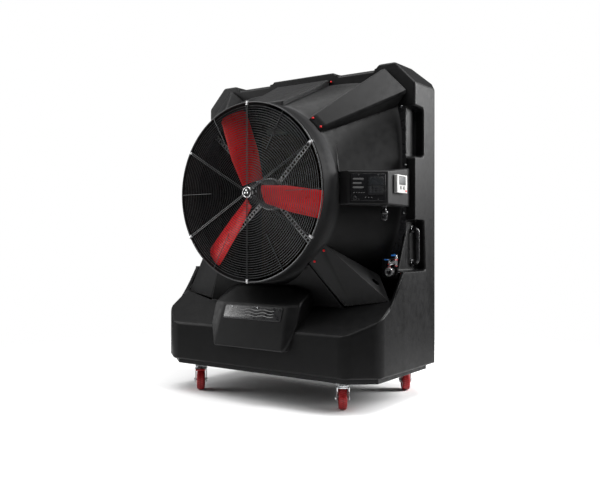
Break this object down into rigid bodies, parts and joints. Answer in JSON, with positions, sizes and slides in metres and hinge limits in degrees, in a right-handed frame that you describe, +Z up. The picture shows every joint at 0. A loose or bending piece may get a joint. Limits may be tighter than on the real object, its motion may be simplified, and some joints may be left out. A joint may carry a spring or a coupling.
{
  "type": "portable evaporative cooler",
  "caption": "Tall moulded evaporative cooler with a big guarded axial fan, water tank, rear cooling pads, side control box, water inlet and swivel casters.",
  "frame": {"origin": "on the floor, under the middle of the machine's bounding box", "axes": "+X to the side with the control box, +Y to the back where the pads are, +Z up; air leaves along -Y"},
  "size_m": [1.5114, 1.02, 1.9],
  "materials": {
    "housing": "rotomoulded charcoal polyethylene with a fine orange-peel grain",
    "trim_black": "moulded black",
    "frame_black": "black powder coat",
    "blade_red": "saturated red moulding",
    "wheel_red": "red polyurethane",
    "zinc": "zinc plated",
    "guard_wire": "grey coated wire",
    "chrome": "plated brass",
    "motor_grey": "satin grey paint",
    "white_plastic": "white moulding",
    "lever_blue": "blue dipped grip",
    "pad_paper": "corrugated cellulose",
    "pipe_white": "pale pipe plastic",
    "badge": "pressed disc",
    "pump_black": "black moulding"
  },
  "bodies": {
    "machine": {"fan_collar": "housing", "fan_funnel": "housing", "cabinet": "housing", "rib_upper_right": "housing", "rib_upper_left": "housing", "rib_lower_right": "housing", "rib_lower_left": "housing", "rib_top": "housing", "hood": "housing", "control_box": "housing", "name_plate": "trim_black", "control_panel": "trim_black", "power_inlet": "trim_black", "inlet_block": "trim_black", "grab_handle_right": "trim_black", "grab_handle_left": "trim_black", "drain_plug": "trim_black", "base_frame": "frame_black", "pad_frame": "frame_black", "caster_plate_front_right": "zinc", "caster_plate_front_left": "zinc", "caster_plate_rear_right": "zinc", "caster_plate_rear_left": "zinc", "fan_guard": "guard_wire", "guard_badge": "badge", "motor_mount": "zinc", "fan_motor": "motor_grey", "thermostat": "white_plastic", "valve_body": "chrome", "cooling_pad_right": "pad_paper", "cooling_pad_left": "pad_paper", "water_pipe": "pipe_white", "float_valve": "pipe_white", "pump": "pump_black"},
    "fan": {"fan_hub": "trim_black", "fan_blade_1": "blade_red", "fan_blade_2": "blade_red", "fan_blade_3": "blade_red", "fan_shaft": "zinc"},
    "speed_knob": {"speed_knob": "trim_black"},
    "button_left": {"thermostat_button_left": "white_plastic"},
    "button_right": {"thermostat_button_right": "white_plastic"},
    "coupling_nut": {"hose_coupling": "chrome"},
    "lever_left": {"valve_lever_left": "lever_blue"},
    "lever_right": {"valve_lever_right": "lever_blue"},
    "float_arm": {"float_arm": "pipe_white"},
    "swivel_front_right": {"caster_fork_front_right": "zinc", "caster_axle_front_right": "zinc"},
    "wheel_front_right": {"caster_wheel_front_right": "wheel_red"},
    "swivel_front_left": {"caster_fork_front_left": "zinc", "caster_axle_front_left": "zinc"},
    "wheel_front_left": {"caster_wheel_front_left": "wheel_red"},
    "swivel_rear_right": {"caster_fork_rear_right": "zinc", "caster_axle_rear_right": "zinc"},
    "wheel_rear_right": {"caster_wheel_rear_right": "wheel_red"},
    "swivel_rear_left": {"caster_fork_rear_left": "zinc", "caster_axle_rear_left": "zinc"},
    "wheel_rear_left": {"caster_wheel_rear_left": "wheel_red"},
    "brake_front_right": {"brake_pedal_front_right": "wheel_red"},
    "brake_front_left": {"brake_pedal_front_left": "wheel_red"}
  },
  "joints": [
    {"name": "fan_spin", "type": "hinge", "parent": "machine", "child": "fan", "pos_m": [0, -0.429, 1.166], "axis": [0, 1, 0], "continuous": true},
    {"name": "swivel_front_right", "type": "hinge", "parent": "machine", "child": "swivel_front_right", "pos_m": [0.508, -0.325, 0.129], "axis": [0, 0, 1], "continuous": true},
    {"name": "roll_front_right", "type": "hinge", "parent": "swivel_front_right", "child": "wheel_front_right", "pos_m": [0.49066, -0.30052, 0.06], "axis": [-0.8161, -0.5779, 0], "continuous": true},
    {"name": "swivel_front_left", "type": "hinge", "parent": "machine", "child": "swivel_front_left", "pos_m": [-0.508, -0.325, 0.129], "axis": [0, 0, 1], "continuous": true},
    {"name": "roll_front_left", "type": "hinge", "parent": "swivel_front_left", "child": "wheel_front_left", "pos_m": [-0.48872, -0.34798, 0.06], "axis": [0.766, 0.6428, 0], "continuous": true},
    {"name": "swivel_rear_right", "type": "hinge", "parent": "machine", "child": "swivel_rear_right", "pos_m": [0.508, 0.381, 0.129], "axis": [0, 0, 1], "continuous": true},
    {"name": "roll_rear_right", "type": "hinge", "parent": "swivel_rear_right", "child": "wheel_rear_right", "pos_m": [0.52534, 0.35652, 0.06], "axis": [0.8161, 0.5779, 0], "continuous": true},
    {"name": "swivel_rear_left", "type": "hinge", "parent": "machine", "child": "swivel_rear_left", "pos_m": [-0.508, 0.381, 0.129], "axis": [0, 0, 1], "continuous": true},
    {"name": "roll_rear_left", "type": "hinge", "parent": "swivel_rear_left", "child": "wheel_rear_left", "pos_m": [-0.49066, 0.35652, 0.06], "axis": [0.8161, 0.5779, 0], "continuous": true},
    {"name": "brake_front_right", "type": "hinge", "parent": "swivel_front_right", "child": "brake_front_right", "pos_m": [0.482, -0.28827, 0.124], "axis": [-0.8161, -0.5779, 0], "range_deg": [0, 24]},
    {"name": "brake_front_left", "type": "hinge", "parent": "swivel_front_left", "child": "brake_front_left", "pos_m": [-0.47907, -0.35947, 0.124], "axis": [0.766, 0.6428, 0], "range_deg": [0, 24]},
    {"name": "knob_turn", "type": "hinge", "parent": "machine", "child": "speed_knob", "pos_m": [0.60244, -0.35864, 1.122], "axis": [-0.6224, 0.7827, 0], "range_deg": [0, 270]},
    {"name": "button_left_press", "type": "slide", "parent": "machine", "child": "button_left", "axis": [-1, 0, 0], "range_m": [0, 0.0015], "stiffness_N_per_m": 400},
    {"name": "button_right_press", "type": "slide", "parent": "machine", "child": "button_right", "axis": [-1, 0, 0], "range_m": [0, 0.0015], "stiffness_N_per_m": 400},
    {"name": "coupling_turn", "type": "hinge", "parent": "machine", "child": "coupling_nut", "pos_m": [0.64, -0.047, 0.727], "axis": [0, 1, 0], "continuous": true},
    {"name": "lever_left_turn", "type": "hinge", "parent": "machine", "child": "lever_left", "pos_m": [0.631, -0.04, 0.79], "axis": [0, 0, 1], "range_deg": [0, 90]},
    {"name": "lever_right_turn", "type": "hinge", "parent": "machine", "child": "lever_right", "pos_m": [0.674, -0.04, 0.815], "axis": [0, 0, 1], "range_deg": [0, 90]},
    {"name": "float_swing", "type": "hinge", "parent": "machine", "child": "float_arm", "pos_m": [0.636, 0.093, 0.436], "axis": [0, 1, 0], "range_deg": [0, 25]}
  ]
}
